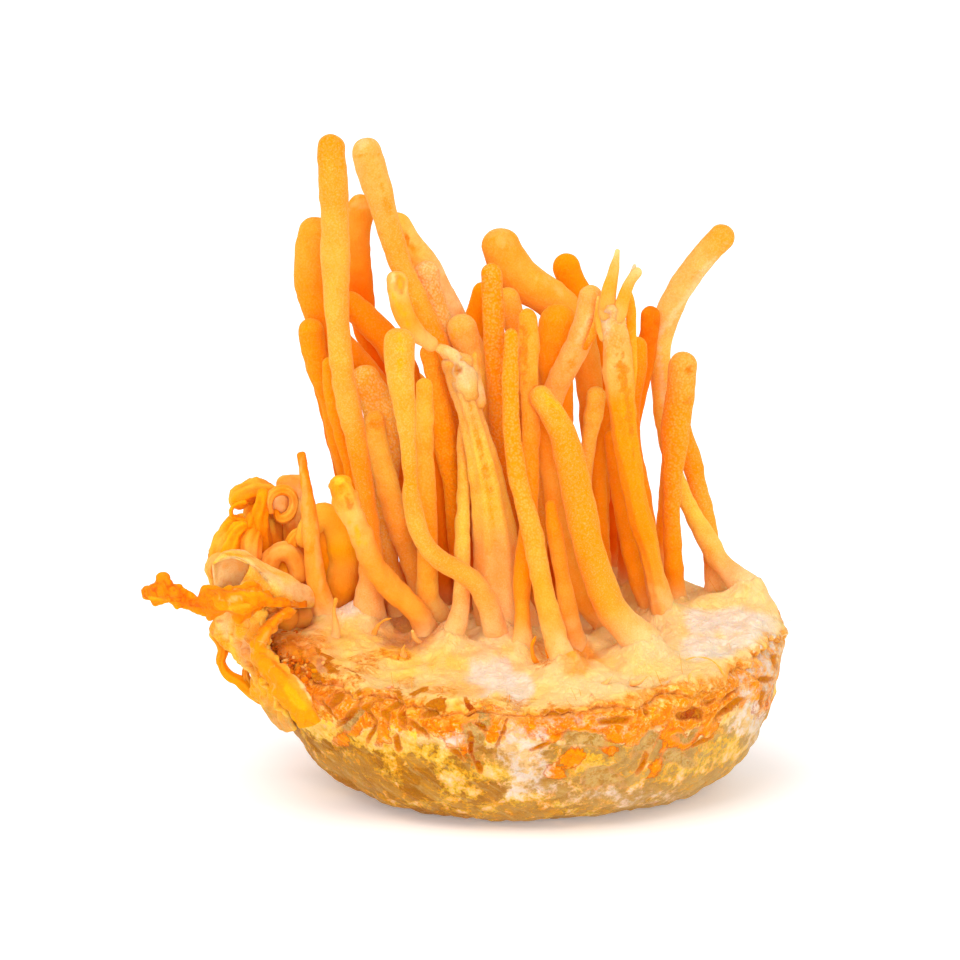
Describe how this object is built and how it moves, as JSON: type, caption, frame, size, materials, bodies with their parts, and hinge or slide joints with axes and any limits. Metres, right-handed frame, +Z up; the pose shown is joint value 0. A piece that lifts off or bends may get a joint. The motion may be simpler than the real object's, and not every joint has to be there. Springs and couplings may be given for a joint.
{
  "type": "cordyceps bunch",
  "caption": "Cultivated cordyceps bunch: orange club-shaped stems and curled frills growing upright from a bowl-shaped cake of rice grain.",
  "frame": {"origin": "centre of the flat patch under the cake that the bunch rests on", "axes": "+Z up, +X to the right of the pictured front, +Y to the back"},
  "size_m": [0.0912, 0.0669, 0.0952],
  "materials": {
    "grain_cake": "damp grain bound by pale mycelium, orange band below the rim",
    "stem_pale": "velvety, light peach orange",
    "stem_orange": "velvety, saturated orange",
    "stem_deep": "velvety, deep orange",
    "frill": "thin, yellow orange, slightly moist"
  },
  "bodies": {
    "root": {"grain_cake": "grain_cake", "curl_tangle": "frill", "curl_deep": "stem_deep", "frill_blade": "frill", "frill_hanging": "frill", "frill_hood": "stem_pale", "spike_left": "frill", "stem_back_banana": "stem_orange", "stem_back_dark": "stem_deep", "stem_back_long": "stem_orange", "stem_back_right_club": "stem_deep", "stem_back_slant": "stem_orange", "stem_ball_club": "stem_orange", "stem_behind_granular": "stem_pale", "stem_behind_middle": "stem_deep", "stem_beside_arc": "stem_orange", "stem_beside_tall": "stem_orange", "stem_beside_torn_tall": "stem_orange", "stem_big_arc": "stem_pale", "stem_big_club": "stem_orange", "stem_dark_inner": "stem_deep", "stem_dark_right": "stem_deep", "stem_far_right": "stem_pale", "stem_fat_club": "stem_pale", "stem_front_bent": "stem_pale", "stem_front_long": "stem_orange", "stem_front_low": "stem_orange", "stem_front_right": "stem_orange", "stem_granular_inner": "stem_deep", "stem_granular_left": "stem_pale", "stem_granular_middle": "stem_orange", "stem_lean_right": "stem_pale", "stem_left_inner": "stem_orange", "stem_left_stub": "stem_pale", "stem_low_left": "stem_orange", "stem_low_left_thin": "stem_deep", "stem_middle_bent": "stem_pale", "stem_pale_short": "stem_pale", "stem_rear_left": "stem_orange", "stem_rear_middle": "stem_orange", "stem_rear_right": "stem_orange", "stem_right_back": "stem_orange", "stem_right_behind": "stem_pale", "stem_right_front": "stem_orange", "stem_right_thin": "stem_orange", "stem_round_club": "stem_pale", "stem_short_front": "frill", "stem_tall_left": "stem_pale", "stem_tall_second": "stem_pale", "stem_torn_cup": "frill", "stem_torn_front": "stem_pale", "stem_torn_left_root": "stem_pale", "stem_torn_tall": "stem_orange"}
  },
  "joints": []
}
